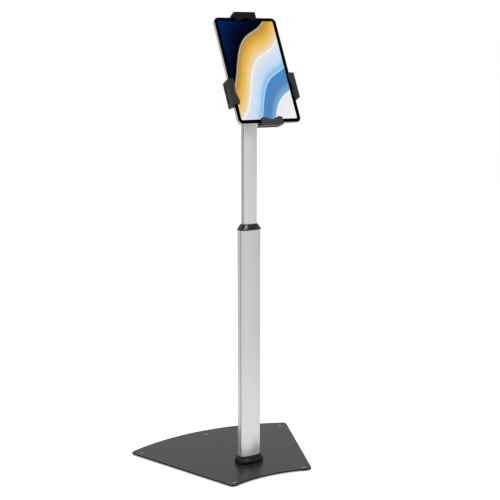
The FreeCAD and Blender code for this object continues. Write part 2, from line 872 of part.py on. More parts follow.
def make_rear_housing():
    half_z = housing_half()[1]
    housing = shell(parting, housing_back, "front")
    housing = housing.fuse(rod_y(flange_radius, rear_wall_inside, hub_back))
    cup_front = guide_plate_front + cup_front_gap
    housing = housing.fuse(rod_y(cup_radius + cup_wall, cup_front, rear_wall_inside + 1))
    housing = housing.cut(rod_y(cup_radius, guide_plate_front, hub_inside))
    for sign in (1, -1):
        housing = housing.fuse(guide_block(sign))
    for x, z in housing_screw_places():
        housing = housing.fuse(rod_y(housing_boss_radius, parting, rear_wall_inside + 1, x, z))
    half_slot = upright_arm_half_width + arm_side_gap
    housing = housing.cut(box((-half_slot, parting - 1, -half_z - 1),
                              (half_slot, upright_layer_back + layer_gap, -guide_block_start)))
    housing = housing.cut(box((-half_slot, parting - 1, guide_block_start),
                              (half_slot, upright_layer_back + layer_gap, half_z + 1)))
    housing = housing.cut(rod_y(turn_bolt_radius + running_gap, parting, hub_back + 1))
    housing = housing.cut(stop_groove())
    head_hole_radius = housing_screw_head_radius + seat_gap
    for x, z in housing_screw_places():
        housing = housing.cut(rod_y(housing_screw_radius + seat_gap, parting - 1, housing_back + 1, x, z))
        housing = housing.cut(rod_y(head_hole_radius, housing_screw_seat(), housing_back + 1, x, z))
    for z in (thumb_screw_height, -thumb_screw_height):
        housing = housing.cut(rod_y(thumb_screw_radius + running_gap, parting, housing_back + 1, 0, z))
    return on_head(housing.removeSplitter())


def make_front_housing():
    half_x, half_z = housing_half()
    housing = shell(housing_front, parting, "back")
    inside_x = half_x - housing_wall
    for sign in (1, -1):
        guide_middle = sign * (side_arm_half_width + arm_side_gap + side_guide_wall / 2)
        housing = housing.fuse(box((-inside_x - 1, front_wall_inside - 1, guide_middle - side_guide_wall / 2),
                                   (inside_x + 1, guide_plate_front, guide_middle + side_guide_wall / 2)))
        rib_middle = sign * (side_arm_half_width - side_rib_inset)
        housing = housing.fuse(box((-inside_x - 1, front_wall_inside - 1, rib_middle - side_rib_width / 2),
                                   (inside_x + 1, front_wall_inside + front_rib_height,
                                    rib_middle + side_rib_width / 2)))
    for x, z in housing_screw_places():
        housing = housing.fuse(rod_y(housing_boss_radius, front_wall_inside - 1, parting, x, z))
    pin_boss_back = front_wall_inside + front_rib_height
    housing = housing.fuse(rod_y(2 * pinion_pin_radius, front_wall_inside - 1, pin_boss_back))
    slot_half = side_arm_half_width + arm_side_gap
    for side in (1, -1):
        low_x = min(side * (inside_x - 1), side * (half_x + 1))
        housing = housing.cut(box((low_x, side_layer_front - layer_gap, -slot_half),
                                  (low_x + housing_wall + 2, parting + 1, slot_half)))
    housing = housing.cut(rod_y(pinion_pin_radius + seat_gap, front_wall_inside - pinion_pin_bite, parting))
    for x, z in housing_screw_places():
        hole_end = housing_screw_seat() - housing_screw_length - housing_screw_hole_spare
        housing = housing.cut(rod_y(housing_screw_radius + seat_gap, hole_end, parting + 1, x, z))
    return on_head(housing.removeSplitter())


def make_housing_screws():
    screws = []
    for x, z in housing_screw_places():
        seat = housing_screw_seat()
        screw = rod_y(housing_screw_radius, seat - housing_screw_length, seat, x, z)
        head = rod_y(housing_screw_head_radius, seat, seat + housing_screw_head_height, x, z)
        screws.append(on_head(screw.fuse(head)))
    return Part.makeCompound(screws)


def make_housing_pads():
    half_x, half_z = housing_half()
    x = half_x - housing_pad_inset
    z = half_z - housing_pad_inset
    return Part.makeCompound([on_head(rod_y(housing_pad_radius, tablet_back, housing_front, i * x, j * z))
                              for i in (1, -1) for j in (1, -1)])


def make_guide_plate():
    plate = box((-guide_plate_half_width, guide_plate_front, -guide_plate_half_height),
                (guide_plate_half_width, guide_plate_back, guide_plate_half_height))
    hole = rod_y(cup_radius + cup_wall + 2 * layer_gap, guide_plate_front - 1, guide_plate_back + 1)
    return on_head(plate.cut(hole))


# Rack and pinion
def rack_teeth(start, end):
    """Straight-sided rack teeth that point to -Z, with a space at x = 0. Each reaches a little past the root
    line, into the bar that it joins."""
    root = pitch_radius + gear_dedendum
    joined = root + rack_tooth_overlap
    tip = pitch_radius - gear_addendum
    slope = math.tan(math.radians(pressure_angle))
    half_at_pitch = (gear_pitch - gear_backlash) / 4
    half_root = half_at_pitch + slope * (root - pitch_radius)
    half_tip = half_at_pitch - slope * gear_addendum
    teeth = []
    first = math.ceil(start / gear_pitch - 0.5)
    last = math.floor(end / gear_pitch - 0.5)
    for k in range(first, last + 1):
        x = (k + 0.5) * gear_pitch
        corners = [(x - half_root, joined), (x - half_root, root), (x - half_tip, tip),
                   (x + half_tip, tip), (x + half_root, root), (x + half_root, joined)]
        tooth = polygon([Vector(corner_x, side_layer_front, corner_z) for corner_x, corner_z in corners])
        teeth.append(tooth.extrude(Vector(0, arm_thickness, 0)))
    return teeth


def round_point(radius, angle):
    """Point of a circle across Y, at an angle from the top."""
    return Vector(radius * math.sin(angle), 0, radius * math.cos(angle))


def involute_point(base_radius, radius, start_angle, side):
    """Point of a tooth flank: the involute of the base circle, turned to start_angle and mirrored by side."""
    roll = math.sqrt(max((radius / base_radius) ** 2 - 1, 0.0))
    return round_point(radius, start_angle + side * (roll - math.atan(roll)))


def make_pinion_disc():
    """Spur gear across Y with a tooth at the top. Its flanks are involutes."""
    base_radius = pitch_radius * math.cos(math.radians(pressure_angle))
    root_radius = pitch_radius - gear_dedendum
    tip_radius = pitch_radius + gear_addendum
    roll = math.tan(math.radians(pressure_angle))
    half_tooth = (gear_pitch - gear_backlash) / (4 * pitch_radius)
    half_at_base = half_tooth + roll - math.radians(pressure_angle)
    flank_radii = [base_radius + (tip_radius - base_radius) * i / 4 for i in range(5)]
    points = []
    for k in range(pinion_teeth):
        middle = 2 * math.pi * k / pinion_teeth
        left = [involute_point(base_radius, r, middle - half_at_base, 1) for r in flank_radii]
        right = [involute_point(base_radius, r, middle + half_at_base, -1) for r in flank_radii]
        root_left = round_point(root_radius, middle - half_at_base)
        root_right = round_point(root_radius, middle + half_at_base)
        points += [root_left] + left + right[::-1] + [root_right]
    return polygon(points)


def make_arm_pinion():
    disc = make_pinion_disc()
    disc.translate(Vector(0, side_layer_front + pinion_side_gap, 0))
    gear = disc.extrude(Vector(0, arm_thickness - 2 * pinion_side_gap, 0))
    hub = rod_y(pinion_hub_radius, side_layer_back - 1, side_layer_back + pinion_hub_length)
    gear = gear.fuse(hub)
    return on_head(gear.cut(rod_y(pinion_pin_radius + running_gap, side_layer_front - 1,
                                  side_layer_back + pinion_hub_length + 1)))


def make_pinion_pin():
    hub_end = side_layer_back + pinion_hub_length + layer_gap
    pin = rod_y(pinion_pin_radius, front_wall_inside - pinion_pin_bite, hub_end)
    head = rod_y(pinion_pin_head_radius, hub_end, hub_end + pinion_pin_head_height)
    return on_head(pin.fuse(head))


def spiral_half(index, radius, y):
    """Half turn of a spiral. Its centre changes side each half turn, which opens the spiral evenly."""
    centre = 0.0 if index % 2 == 0 else -spring_half_turn_step
    sign = 1 if index % 2 == 0 else -1
    return arc(Vector(centre - sign * radius, y, 0), Vector(centre, y, sign * radius),
               Vector(centre + sign * radius, y, 0))


def make_pinion_spring():
    """Flat strip wound round the pinion's hub, that draws the side arms in."""
    y = guide_plate_front + (pinion_hub_length - spring_width) / 2
    radii = [spring_inner_radius + i * spring_half_turn_step for i in range(spring_half_turns)]
    inner = [spiral_half(i, radius, y) for i, radius in enumerate(radii)]
    outer = [spiral_half(i, radius + spring_strip, y) for i, radius in enumerate(radii)]
    start_cap = line(inner[0].Vertexes[0].Point, outer[0].Vertexes[0].Point)
    end_cap = line(inner[-1].Vertexes[-1].Point, outer[-1].Vertexes[-1].Point)
    outline = Part.Wire(Part.__sortEdges__([start_cap, end_cap] + inner + outer))
    return on_head(Part.Face(outline).extrude(Vector(0, spring_width, 0)))


# Arms, in the head's own frame
def jaw_screw_holes(edge):
    """Clearance holes for the two jaw screws of an arm that points to +Z and ends at the tablet's edge."""
    radius = jaw_screw_radius + seat_gap
    z = edge - jaw_screw_inset
    return Part.makeCompound([rod_y(radius, side_layer_front - 1, side_layer_back + 1, x, z)
                              for x in (-jaw_screw_spacing, jaw_screw_spacing)])


def turned(shape, degrees):
    """Turns a shape about the holder's middle, seen from the back."""
    copy = shape.copy()
    copy.rotate(Vector(0, 0, 0), AXIS_Y, degrees)
    return copy


def make_side_arm(degrees):
    """Left arm: a blade with a tongue for its jaw, and a rack above the pinion. The right arm is the same,
    turned."""
    edge = tablet_width / 2
    foot_start = edge - jaw_foot_reach
    blade = box((-foot_start, side_layer_front, -side_arm_half_width),
                (-side_arm_inner_end, side_layer_back, side_arm_half_width))
    tongue = box((-edge - jaw_tongue_end, side_layer_front, -upright_arm_half_width),
                 (-side_arm_inner_end, side_layer_back, upright_arm_half_width))
    bar = box((-side_arm_inner_end - 1, side_layer_front, pitch_radius + gear_dedendum),
              (side_rack_reach, side_layer_back, side_arm_half_width))
    arm = blade.fuse(tongue).fuse(bar)
    for tooth in rack_teeth(-2 * gear_pitch, side_rack_reach - side_rack_end_flat):
        arm = arm.fuse(tooth)
    arm = arm.cut(turned(jaw_screw_holes(edge), -90))
    return on_head(turned(arm.removeSplitter(), degrees))


def make_upright_arm(edge, joggle_start, slot_length, degrees):
    """Arm that points to +Z: a tail in the rear layer, a step forward, and a bar in the jaws' layer."""
    half = upright_arm_half_width
    joggle_end = joggle_start + upright_arm_joggle
    arm = box((-half, upright_layer_front, upright_arm_tail), (half, upright_layer_back, joggle_end))
    arm = arm.fuse(box((-half, side_layer_front, joggle_start), (half, upright_layer_back, joggle_end)))
    arm_end = edge + jaw_tongue_end
    arm = arm.fuse(box((-half, side_layer_front, joggle_start), (half, side_layer_back, arm_end)))
    if slot_length > 0:
        middle = (joggle_end + edge - jaw_foot_reach) / 2
        slot_half = arm_slot_width / 2
        reach = slot_length / 2 - slot_half
        slot = box((-slot_half, side_layer_front - 1, middle - reach),
                   (slot_half, side_layer_back + 1, middle + reach))
        for z in (middle - reach, middle + reach):
            slot = slot.fuse(rod_y(slot_half, side_layer_front - 1, side_layer_back + 1, 0, z))
        arm = arm.cut(slot)
    arm = arm.cut(jaw_screw_holes(edge))
    return on_head(turned(arm.removeSplitter(), degrees))


def make_thumb_screw(z):
    tip = upright_layer_back + thumb_tip_gap
    head_start = housing_back + layer_gap
    screw = rod_y(thumb_screw_radius, tip, head_start + 1, 0, z)
    head = along(lobed_knob(thumb_head_radius, thumb_head_height), Vector(0, head_start, z), AXIS_Y)
    return on_head(screw.fuse(head))


# Jaws, made at the top and turned to their sides
def jaw_lip_front():
    return glass_front - jaw_lip_above_glass


def jaw_lip_back():
    return jaw_lip_front() + jaw_lip_thickness


def jaw_foot_front():
    return tablet_back + layer_gap + jaw_pad_foot_thickness


def jaw_inside(edge):
    return edge + jaw_grip_gap + jaw_pad_thickness


def jaw_wall_section(x, edge, wall, slope):
    """Section across a jaw's wall and lip at x. The wall's outer side slopes inwards towards the back."""
    outside = edge + wall
    inside = jaw_inside(edge)
    reach = edge - 2 * jaw_foot_reach
    points = [(jaw_lip_front(), reach), (jaw_lip_front(), outside), (side_layer_back, outside - slope),
              (side_layer_back, inside), (jaw_lip_back(), inside), (jaw_lip_back(), reach)]
    return polygon([Vector(x, y, z) for y, z in points])


def jaw_outline(edge, length, wall, humps):
    """Outline of a jaw from the front: rounded outer corners, and a lip edge with a hump near each end."""
    half = length / 2
    outside = edge + wall

    def plan(x, z):
        return Vector(x, jaw_lip_front() - 1, z)

    def lip_side(sign, hump):
        """Points of the lip's edge from its dip to one end."""
        between = (hump + jaw_lip_dip) / 2
        return [plan(sign * jaw_hump_place * length / 2, edge - between),
                plan(sign * jaw_hump_place * length, edge - hump),
                plan(sign * half, edge - jaw_lip_corner_share * hump)]

    wave_points = lip_side(-1, humps[0])[::-1] + [plan(0, edge - jaw_lip_dip)] + lip_side(1, humps[1])
    wave = Part.BSplineCurve()
    wave.interpolate(wave_points)
    q = jaw_end_round
    c = q * (1 - math.sqrt(0.5))
    return Part.Face(Part.Wire([
        wave.toShape(),
        line(wave_points[-1], plan(half, outside - q)),
        arc(plan(half, outside - q), plan(half - c, outside - c), plan(half - q, outside)),
        line(plan(half - q, outside), plan(-half + q, outside)),
        arc(plan(-half + q, outside), plan(-half + c, outside - c), plan(-half, outside - q)),
        line(plan(-half, outside - q), wave_points[0])]))


def edges_along_x(shape, y, z):
    """The edges of a shape that run along X at the given Y and Z."""
    return [e for e in shape.Edges if all(abs(v.Y - y) + abs(v.Z - z) < 1e-6 for v in e.Vertexes)]


def make_jaw(edge, length, wall, slope, humps, offset):
    """C-shaped jaw at the tablet's upper edge: foot behind the tablet, outer wall, and waved lip in front.
    Its middle lies at offset along X, and the arm that carries it at 0."""
    half = length / 2
    back = side_layer_back
    body = jaw_wall_section(-half, edge, wall, slope).extrude(Vector(length, 0, 0))
    body = body.makeFillet(jaw_outer_round, edges_along_x(body, jaw_lip_front(), edge + wall))
    body = body.makeFillet(jaw_inner_round, edges_along_x(body, jaw_lip_back(), jaw_inside(edge)))
    outline = jaw_outline(edge, length, wall, humps)
    body = body.common(outline.extrude(Vector(0, back - jaw_lip_front() + 2, 0)))

    lowered = jaw_wall_section(-jaw_recess_half_width, edge, wall, slope)
    lowered = lowered.extrude(Vector(2 * jaw_recess_half_width, 0, 0))
    lowered.translate(Vector(0, 0, -jaw_recess_depth))
    around = box((-jaw_recess_half_width, jaw_lip_back(), jaw_inside(edge) + 1),
                 (jaw_recess_half_width, side_layer_front - 1, edge + wall + 1))
    body = body.cut(around.cut(lowered))

    foot_half = half - jaw_end_round
    foot = box((-foot_half, jaw_foot_front(), edge - jaw_foot_reach), (foot_half, back, jaw_inside(edge) + 1))
    body = body.fuse(foot)
    body.translate(Vector(offset, 0, 0))
    tongue_half = upright_arm_half_width + jaw_tongue_gap
    body = body.cut(box((-tongue_half, side_layer_front, edge - jaw_foot_reach - 1),
                        (tongue_half, back + 1, edge + jaw_tongue_end + jaw_tongue_gap)))
    for x in (-jaw_screw_spacing, jaw_screw_spacing):
        body = body.cut(rod_y(jaw_screw_radius + seat_gap, jaw_screw_tip() - jaw_screw_hole_spare, back,
                              x, edge - jaw_screw_inset))
    return body.removeSplitter()


def make_jaw_pad(edge, length, offset):
    """Rubber liner of a jaw: a strip on the wall and a strip on the foot."""
    half = length / 2 - jaw_end_round - jaw_pad_end_inset
    far_corner = (half, jaw_foot_front(), jaw_inside(edge))
    pad = box((-half, jaw_lip_back() + jaw_inner_round, edge + jaw_grip_gap), far_corner)
    pad = pad.fuse(box((-half, tablet_back + layer_gap, edge - jaw_pad_reach), far_corner))
    pad.translate(Vector(offset, 0, 0))
    return pad


def jaw_screw_tip():
    return side_layer_back - jaw_screw_length


def make_jaw_screws(edge):
    screws = []
    for x in (-jaw_screw_spacing, jaw_screw_spacing):
        z = edge - jaw_screw_inset
        screw = rod_y(jaw_screw_radius, jaw_screw_tip(), side_layer_back, x, z)
        head = rod_y(jaw_screw_head_radius, side_layer_back, side_layer_back + jaw_screw_head_height, x, z)
        screws.append(screw.fuse(head))
    return Part.makeCompound(screws)


# Tablet, in the head's own frame
def tablet_slab(inset, front, back):
    half_width = tablet_width / 2 - inset
    half_height = tablet_height / 2 - inset
    slab = rounded_slab(half_width, half_height, tablet_corner_radius - inset, front, back)
    slab.translate(Vector(0, 0, tablet_above_holder))
    return slab


def glass_back():
    return glass_front + tablet_glass_thickness


def display_back():
    return glass_back() + tablet_display_thickness


def make_tablet_shell():
    body = tablet_slab(0.0, glass_front, tablet_back)
    back_rim = [e for e in body.Edges if min(v.Y for v in e.Vertexes) > tablet_back - 1e-6]
    body = body.makeFillet(tablet_back_round, back_rim)
    body = body.cut(tablet_slab(tablet_rim, glass_front - 1, glass_back()))
    body = body.cut(tablet_slab(tablet_display_inset, glass_front - 1, display_back()))
    return on_head(body.cut(tablet_slab(tablet_side_wall, glass_front - 1, tablet_back - tablet_back_wall)))


def make_tablet_glass():
    return on_head(tablet_slab(tablet_rim + tablet_fit_gap, glass_front, glass_back()))


def make_tablet_display():
    return on_head(tablet_slab(tablet_display_inset + tablet_fit_gap, glass_back(), display_back()))


os.makedirs("parts", exist_ok=True)

save("base_plate", make_base_plate())
for number, (foot_x, foot_y) in enumerate(foot_places(), 1):
    save(f"foot_stud_{number}", make_foot_stud(foot_x, foot_y))
save("foot_pads", make_foot_pads())
save("base_screws", make_base_screws())
save("column_plug", make_column_plug())
save("column_screws", make_column_screws())
save("column_boot", make_column_boot())
save("lower_column", make_lower_column())
save("column_collar", make_column_collar())
save("guide_bush", make_guide_bush())
save("brake_pad", make_brake_pad())
save("height_boss", make_height_boss())
save("height_knob", make_height_knob())
save("height_screw", make_height_screw())

save("upper_column", make_upper_column())
save("tail_bush", make_tail_bush())
save("head_plug", make_head_plug())
save("head_bracket", make_head_bracket())
save("bracket_screws", make_bracket_screws())
save("tilt_bolt", make_tilt_bolt())
save("tilt_washers", make_tilt_washers())
save("tilt_knob", make_tilt_knob())
save("tilt_block", make_tilt_block())
save("turn_bolt", make_turn_bolt())
save("turn_stop_pin", make_turn_stop_pin())
save("turn_washer", make_turn_washer())
save("turn_spring", make_turn_spring())

save("rear_housing", make_rear_housing())
save("front_housing", make_front_housing())
save("housing_screws", make_housing_screws())
save("housing_pads", make_housing_pads())
save("guide_plate", make_guide_plate())
save("pinion_pin", make_pinion_pin())
save("pinion_spring", make_pinion_spring())
save("arm_pinion", make_arm_pinion())

save("left_arm", make_side_arm(0))
save("right_arm", make_side_arm(180))
top_edge = tablet_above_holder + tablet_height / 2
bottom_edge = tablet_height / 2 - tablet_above_holder
side_edge = tablet_width / 2
save("top_arm", make_upright_arm(top_edge, top_joggle_start, arm_slot_length, 0))
save("bottom_arm", make_upright_arm(bottom_edge, bottom_joggle_start, 0, 180))
save("top_arm_screw", make_thumb_screw(thumb_screw_height))
save("bottom_arm_screw", make_thumb_screw(-thumb_screw_height))

top_jaw = make_jaw(top_edge, end_jaw_length, top_jaw_wall, end_jaw_slope, end_lip_humps, -top_jaw_offset)
bottom_jaw = make_jaw(bottom_edge, end_jaw_length, bottom_jaw_wall, end_jaw_slope, end_lip_humps, 0.0)
side_jaw = make_jaw(side_edge, side_jaw_length, side_jaw_wall, side_jaw_slope, side_lip_humps,
                    -side_jaw_offset)
side_jaw_pad = make_jaw_pad(side_edge, side_jaw_length, -side_jaw_offset)
save("top_jaw", on_head(top_jaw))
save("top_jaw_pad", on_head(make_jaw_pad(top_edge, end_jaw_length, -top_jaw_offset)))
save("top_jaw_screws", on_head(make_jaw_screws(top_edge)))
save("bottom_jaw", on_head(turned(bottom_jaw, 180)))
save("bottom_jaw_pad", on_head(turned(make_jaw_pad(bottom_edge, end_jaw_length, 0.0), 180)))
save("bottom_jaw_screws", on_head(turned(make_jaw_screws(bottom_edge), 180)))
for side, angle in (("right", 90), ("left", -90)):
    save(f"{side}_jaw", on_head(turned(side_jaw, angle)))
    save(f"{side}_jaw_pad", on_head(turned(side_jaw_pad, angle)))
    save(f"{side}_jaw_screws", on_head(turned(make_jaw_screws(side_edge), angle)))

save("tablet_shell", make_tablet_shell())
save("tablet_glass", make_tablet_glass())
save("tablet_display", make_tablet_display())
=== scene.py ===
import math

import bpy
import numpy as np
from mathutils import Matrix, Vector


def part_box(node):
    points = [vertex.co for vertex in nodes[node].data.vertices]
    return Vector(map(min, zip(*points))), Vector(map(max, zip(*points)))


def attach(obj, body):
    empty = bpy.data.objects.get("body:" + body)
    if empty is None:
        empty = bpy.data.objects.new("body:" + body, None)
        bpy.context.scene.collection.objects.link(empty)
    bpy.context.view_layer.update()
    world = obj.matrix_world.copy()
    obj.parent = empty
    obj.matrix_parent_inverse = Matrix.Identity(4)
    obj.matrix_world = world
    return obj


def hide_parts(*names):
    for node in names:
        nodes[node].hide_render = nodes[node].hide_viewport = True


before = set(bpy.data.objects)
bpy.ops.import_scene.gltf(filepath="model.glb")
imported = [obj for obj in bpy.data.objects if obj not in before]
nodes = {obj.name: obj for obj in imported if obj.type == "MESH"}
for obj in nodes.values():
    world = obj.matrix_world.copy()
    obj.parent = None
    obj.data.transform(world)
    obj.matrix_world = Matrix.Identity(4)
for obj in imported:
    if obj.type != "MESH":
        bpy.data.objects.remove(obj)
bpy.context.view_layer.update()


# Base plate
# One sheet of 4 mm steel, cut to a spread wedge with a curved front and back, with five tapped holes.
# It is powder coated in a dark satin grey, and its upper edge is broken by a small bevel.
class Field:
    """A number or vector that changes over a surface. Sums, products and comparisons add Math nodes."""

    def __init__(self, finish, socket):
        self.finish = finish
        self.socket = socket

    def math(self, operation, first, second=0.0):
        return self.finish.node("ShaderNodeMath", {"operation": operation}, {0: first, 1: second})

    def __add__(self, other):
        return self.math("ADD", self, other)

    def __sub__(self, other):
        return self.math("SUBTRACT", self, other)

    def __rsub__(self, other):
        return self.math("SUBTRACT", other, self)

    def __mul__(self, other):
        return self.math("MULTIPLY", self, other)

    def __truediv__(self, other):
        return self.math("DIVIDE", self, other)

    def __gt__(self, other):
        return self.math("GREATER_THAN", self, other)

    def __lt__(self, other):
        return self.math("LESS_THAN", self, other)

    def __abs__(self):
        return self.math("ABSOLUTE", self)

    def clip(self):
        """The field held between 0 and 1."""
        return self.finish.node("ShaderNodeClamp", {}, {"Value": self})

    __radd__ = __add__
    __rmul__ = __mul__


def srgb(red, green, blue):
    """Linear colour for a screen colour from 0 to 255: the standard power curve with its straight foot."""
    steps = [v / 255 for v in (red, green, blue)]
    return tuple(v / 12.92 if v <= 0.04045 else ((v + 0.055) / 1.055) ** 2.4 for v in steps) + (1.0,)


class Finish:
    """A node material on one Principled shader. Its constants are set on the shader's own sockets."""

    def __init__(self, name, constants):
        self.material = bpy.data.materials.new(name)
        self.material.use_nodes = True
        self.tree = self.material.node_tree
        self.shader = self.tree.nodes["Principled BSDF"]
        for socket, value in constants.items():
            self.shader.inputs[socket].default_value = value

    def node(self, kind, settings, values, output=0):
        """Adds a node of that type, sets it, then joins or sets its sockets, and gives one output."""
        made = self.tree.nodes.new(kind)
        for setting, value in settings.items():
            if setting == "stops":
                ramp = made.color_ramp.elements
                while len(ramp) < len(value):
                    ramp.new(0.5)
                for element, (position, colour) in zip(ramp, value):
                    element.position = position
                    element.color = colour
            else:
                setattr(made, setting, value)
        for socket, value in values.items():
            self.join(value, made.inputs[socket])
        return Field(self, made.outputs[output])

    def join(self, value, socket):
        if isinstance(value, Field):
            self.tree.links.new(value.socket, socket)
        else:
            socket.default_value = value

    def vary(self, socket, value):
        self.join(value, self.shader.inputs[socket])

    def place(self, turn=(0, 0, 0), centre=(0, 0, 0), stretch=(1, 1, 1)):
        """Object coordinates moved so that centre is at 0, then turned, then stretched."""
        spot = self.node("ShaderNodeTexCoord", {}, {}, "Object")
        moved = self.node("ShaderNodeVectorMath", {"operation": "SUBTRACT"}, {0: spot, 1: centre})
        turned = self.node("ShaderNodeMapping", {"vector_type": "POINT"},
                           {"Vector": moved, "Rotation": turn})
        return self.node("ShaderNodeVectorMath", {"operation": "MULTIPLY"}, {0: turned, 1: stretch})

    def parts(self, vector):
        """The X, Y and Z of a vector."""
        first = self.node("ShaderNodeSeparateXYZ", {}, {"Vector": vector})
        outputs = first.socket.node.outputs
        return first, Field(self, outputs[1]), Field(self, outputs[2])

    def noise(self, at, scale, detail, roughness=0.5):
        return self.node("ShaderNodeTexNoise", {"noise_dimensions": "3D"},
                         {"Vector": at, "Scale": scale, "Detail": detail, "Roughness": roughness})

    def blend(self, share, first, second):
        """Colour that goes from first to second as share goes from 0 to 1."""
        settings = {"data_type": "RGBA", "blend_type": "MIX"}
        return self.node("ShaderNodeMix", settings, {0: share, 6: first, 7: second}, 2)

    def bump(self, height, depth, strength):
        """Normals from a height field from 0 to 1, depth metres high."""
        self.vary("Normal", self.node("ShaderNodeBump", {}, {"Height": height, "Distance": depth,
                                                             "Strength": strength}))


def dress(finish, names):
    """Puts a finish on CAD nodes."""
    for name in names:
        slots = nodes[name].data.materials
        slots.clear()
        slots.append(finish.material)


def soften(names, width, segments=2):
    """Rounds the sharp edges of CAD nodes with live modifiers: joined corners, whole flats, a bevel."""
    for name in names:
        part = nodes[name]
        weld = part.modifiers.new("joined_corners", "WELD")
        weld.merge_threshold = 2e-6
        flats = part.modifiers.new("whole_flats", "DECIMATE")
        flats.decimate_type = "DISSOLVE"
        flats.angle_limit = math.radians(0.4)
        bevel = part.modifiers.new("rounded_edges", "BEVEL")
        bevel.width = width
        bevel.segments = segments
        bevel.limit_method = "ANGLE"
        bevel.angle_limit = math.radians(40)
        bevel.harden_normals = True
        bevel.miter_outer = "MITER_ARC"


plate_grey = srgb(33, 33, 35)
plate_light = srgb(40, 40, 42)
# The darkest grey is painted shade.
plate_painted_shade = srgb(24, 24, 25)
plate_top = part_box("base_plate")[1].z
painted_shade_depth = 0.0004
plate_finish = Finish("satin_dark_powder_coat", {"Specular IOR Level": 0.12})
spot = plate_finish.place()
clouds = plate_finish.noise(spot, 9.0, 3.0)
grain = plate_finish.noise(spot, 900.0, 2.0)
height = plate_finish.parts(spot)[2]
# Painted shade: the bevel, the hole walls and the sides, below the top face, take a darker grey.
edges = height < plate_top - painted_shade_depth
coat = plate_finish.blend(clouds, plate_grey, plate_light)
plate_finish.vary("Base Color", plate_finish.blend(edges, coat, plate_painted_shade))
plate_finish.vary("Roughness", 0.22 + 0.08 * clouds + 0.06 * grain)
plate_finish.bump(grain, 0.00006, 0.5)
dress(plate_finish, ["base_plate"])


# Levelling feet
# Five zinc plated studs stand in the plate's holes, sunk a little below its face, with a hexagon socket
# on top. Each stands in a round rubber pad with a fine mould texture.
stud_names = [f"foot_stud_{number}" for number in range(1, 6)]
for name in stud_names:
    low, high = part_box(name)
    middle = ((low.x + high.x) / 2, (low.y + high.y) / 2, high.z)
    stud_finish = Finish(f"{name}_zinc", {"Metallic": 0.3, "Base Color": srgb(236, 237, 236)})
    spot = stud_finish.place(centre=middle)
    rings = stud_finish.node("ShaderNodeTexWave", {"wave_type": "RINGS", "rings_direction": "Z"},
                             {"Vector": spot, "Scale": 900.0, "Distortion": 0.6, "Detail": 2.0})
    stud_finish.vary("Roughness", 0.28 + 0.14 * rings)
    stud_finish.bump(rings, 0.00002, 0.6)
    dress(stud_finish, [name])

rubber_finish = Finish("soft_black_rubber", {"Specular IOR Level": 0.3})
spot = rubber_finish.place()
dust = rubber_finish.noise(spot, 60.0, 4.0)
texture = rubber_finish.noise(spot, 2500.0, 1.0)
rubber_finish.vary("Base Color", rubber_finish.blend(dust, srgb(30, 30, 31), srgb(44, 44, 45)))
rubber_finish.vary("Roughness", 0.72 + 0.2 * dust)
rubber_finish.bump(texture, 0.00005, 0.6)
dress(rubber_finish, ["foot_pads", "housing_pads"])
jaw_sides = ("left", "right", "top", "bottom")
dress(rubber_finish, [f"{side}_jaw_pad" for side in jaw_sides])


# Screws and other zinc plated steel
# Bought parts: countersunk base and bracket screws, the tilt axle, the swivel bolt with its spring and stop
# pin, the clamp's screw, the guide plate, the gear's pin and spring. The zinc is bluish and yellowish.
zinc_finish = Finish("zinc_plated_steel", {"Metallic": 1.0})
spot = zinc_finish.place()
cast = zinc_finish.noise(spot, 140.0, 3.0)
scuff = zinc_finish.noise(spot, 2200.0, 2.0)
zinc_finish.vary("Base Color", zinc_finish.blend(cast, srgb(176, 180, 186), srgb(196, 192, 178)))
zinc_finish.vary("Roughness", 0.26 + 0.16 * cast + 0.1 * scuff)
zinc_finish.bump(scuff, 0.00001, 0.6)
dress(zinc_finish, ["base_screws", "bracket_screws", "tilt_bolt", "turn_bolt", "turn_stop_pin",
                    "turn_spring", "height_screw", "guide_plate", "pinion_pin", "pinion_spring"])
soften(["tilt_bolt"], width=0.0005)


# Columns
# Two extruded aluminium tubes with bowed front and back faces and flat narrow sides. They are brushed
# lengthwise and anodised satin. The upper one slides in the lower one.
def brushed_aluminium(name, half_width, half_flat, dark, light, painted_side_shade, painted_foot_light):
    """Brushed metal: streaks that are short across the column and long along it. Painted light lightens it
    toward the floor by the foot's share, and painted shade darkens the narrow sides by the sides' share. A
    line of painted shade along each corner fades out over its fade length, up to its reach from the corner in
    plan. Lengths are in metres."""
    corner_shade_reach = 0.00182
    corner_shade_fade = 0.0013
    painted_light_reach = 0.3
    side_depth = 0.0004
    finish = Finish(name, {"Metallic": 0.6, "Specular IOR Level": 0.4})
    streaks = finish.noise(finish.place(stretch=(1.0, 1.0, 0.008)), 1300.0, 3.0, 0.6)
    bands = finish.noise(finish.place(stretch=(1.0, 1.0, 0.003)), 240.0, 2.0)
    metal = finish.blend(0.5 * streaks + 0.5 * bands, dark, light)
    x, y, z = finish.parts(finish.place())
    off_x = abs(x) - half_width
    off_y = abs(y) - half_flat
    distance = off_x.math("SQRT", off_x * off_x + off_y * off_y)
    # Painted shade: a dark line along each corner.
    line = ((corner_shade_reach - distance) / corner_shade_fade).clip()
    # Painted shade: the narrow sides darken.
    side = off_x > -side_depth
    # Painted light: the metal lightens toward the floor.
    low = (1.0 - z / painted_light_reach).clip()
    faced = finish.blend(painted_foot_light * low, metal, srgb(228, 228, 228))
    sided = finish.blend(painted_side_shade * side, faced, srgb(120, 120, 121))
    finish.vary("Base Color", finish.blend(0.95 * line, sided, srgb(108, 108, 109)))
    finish.vary("Roughness", 0.24 + 0.1 * streaks)
    finish.bump(streaks, 0.00001, 0.5)
    return finish


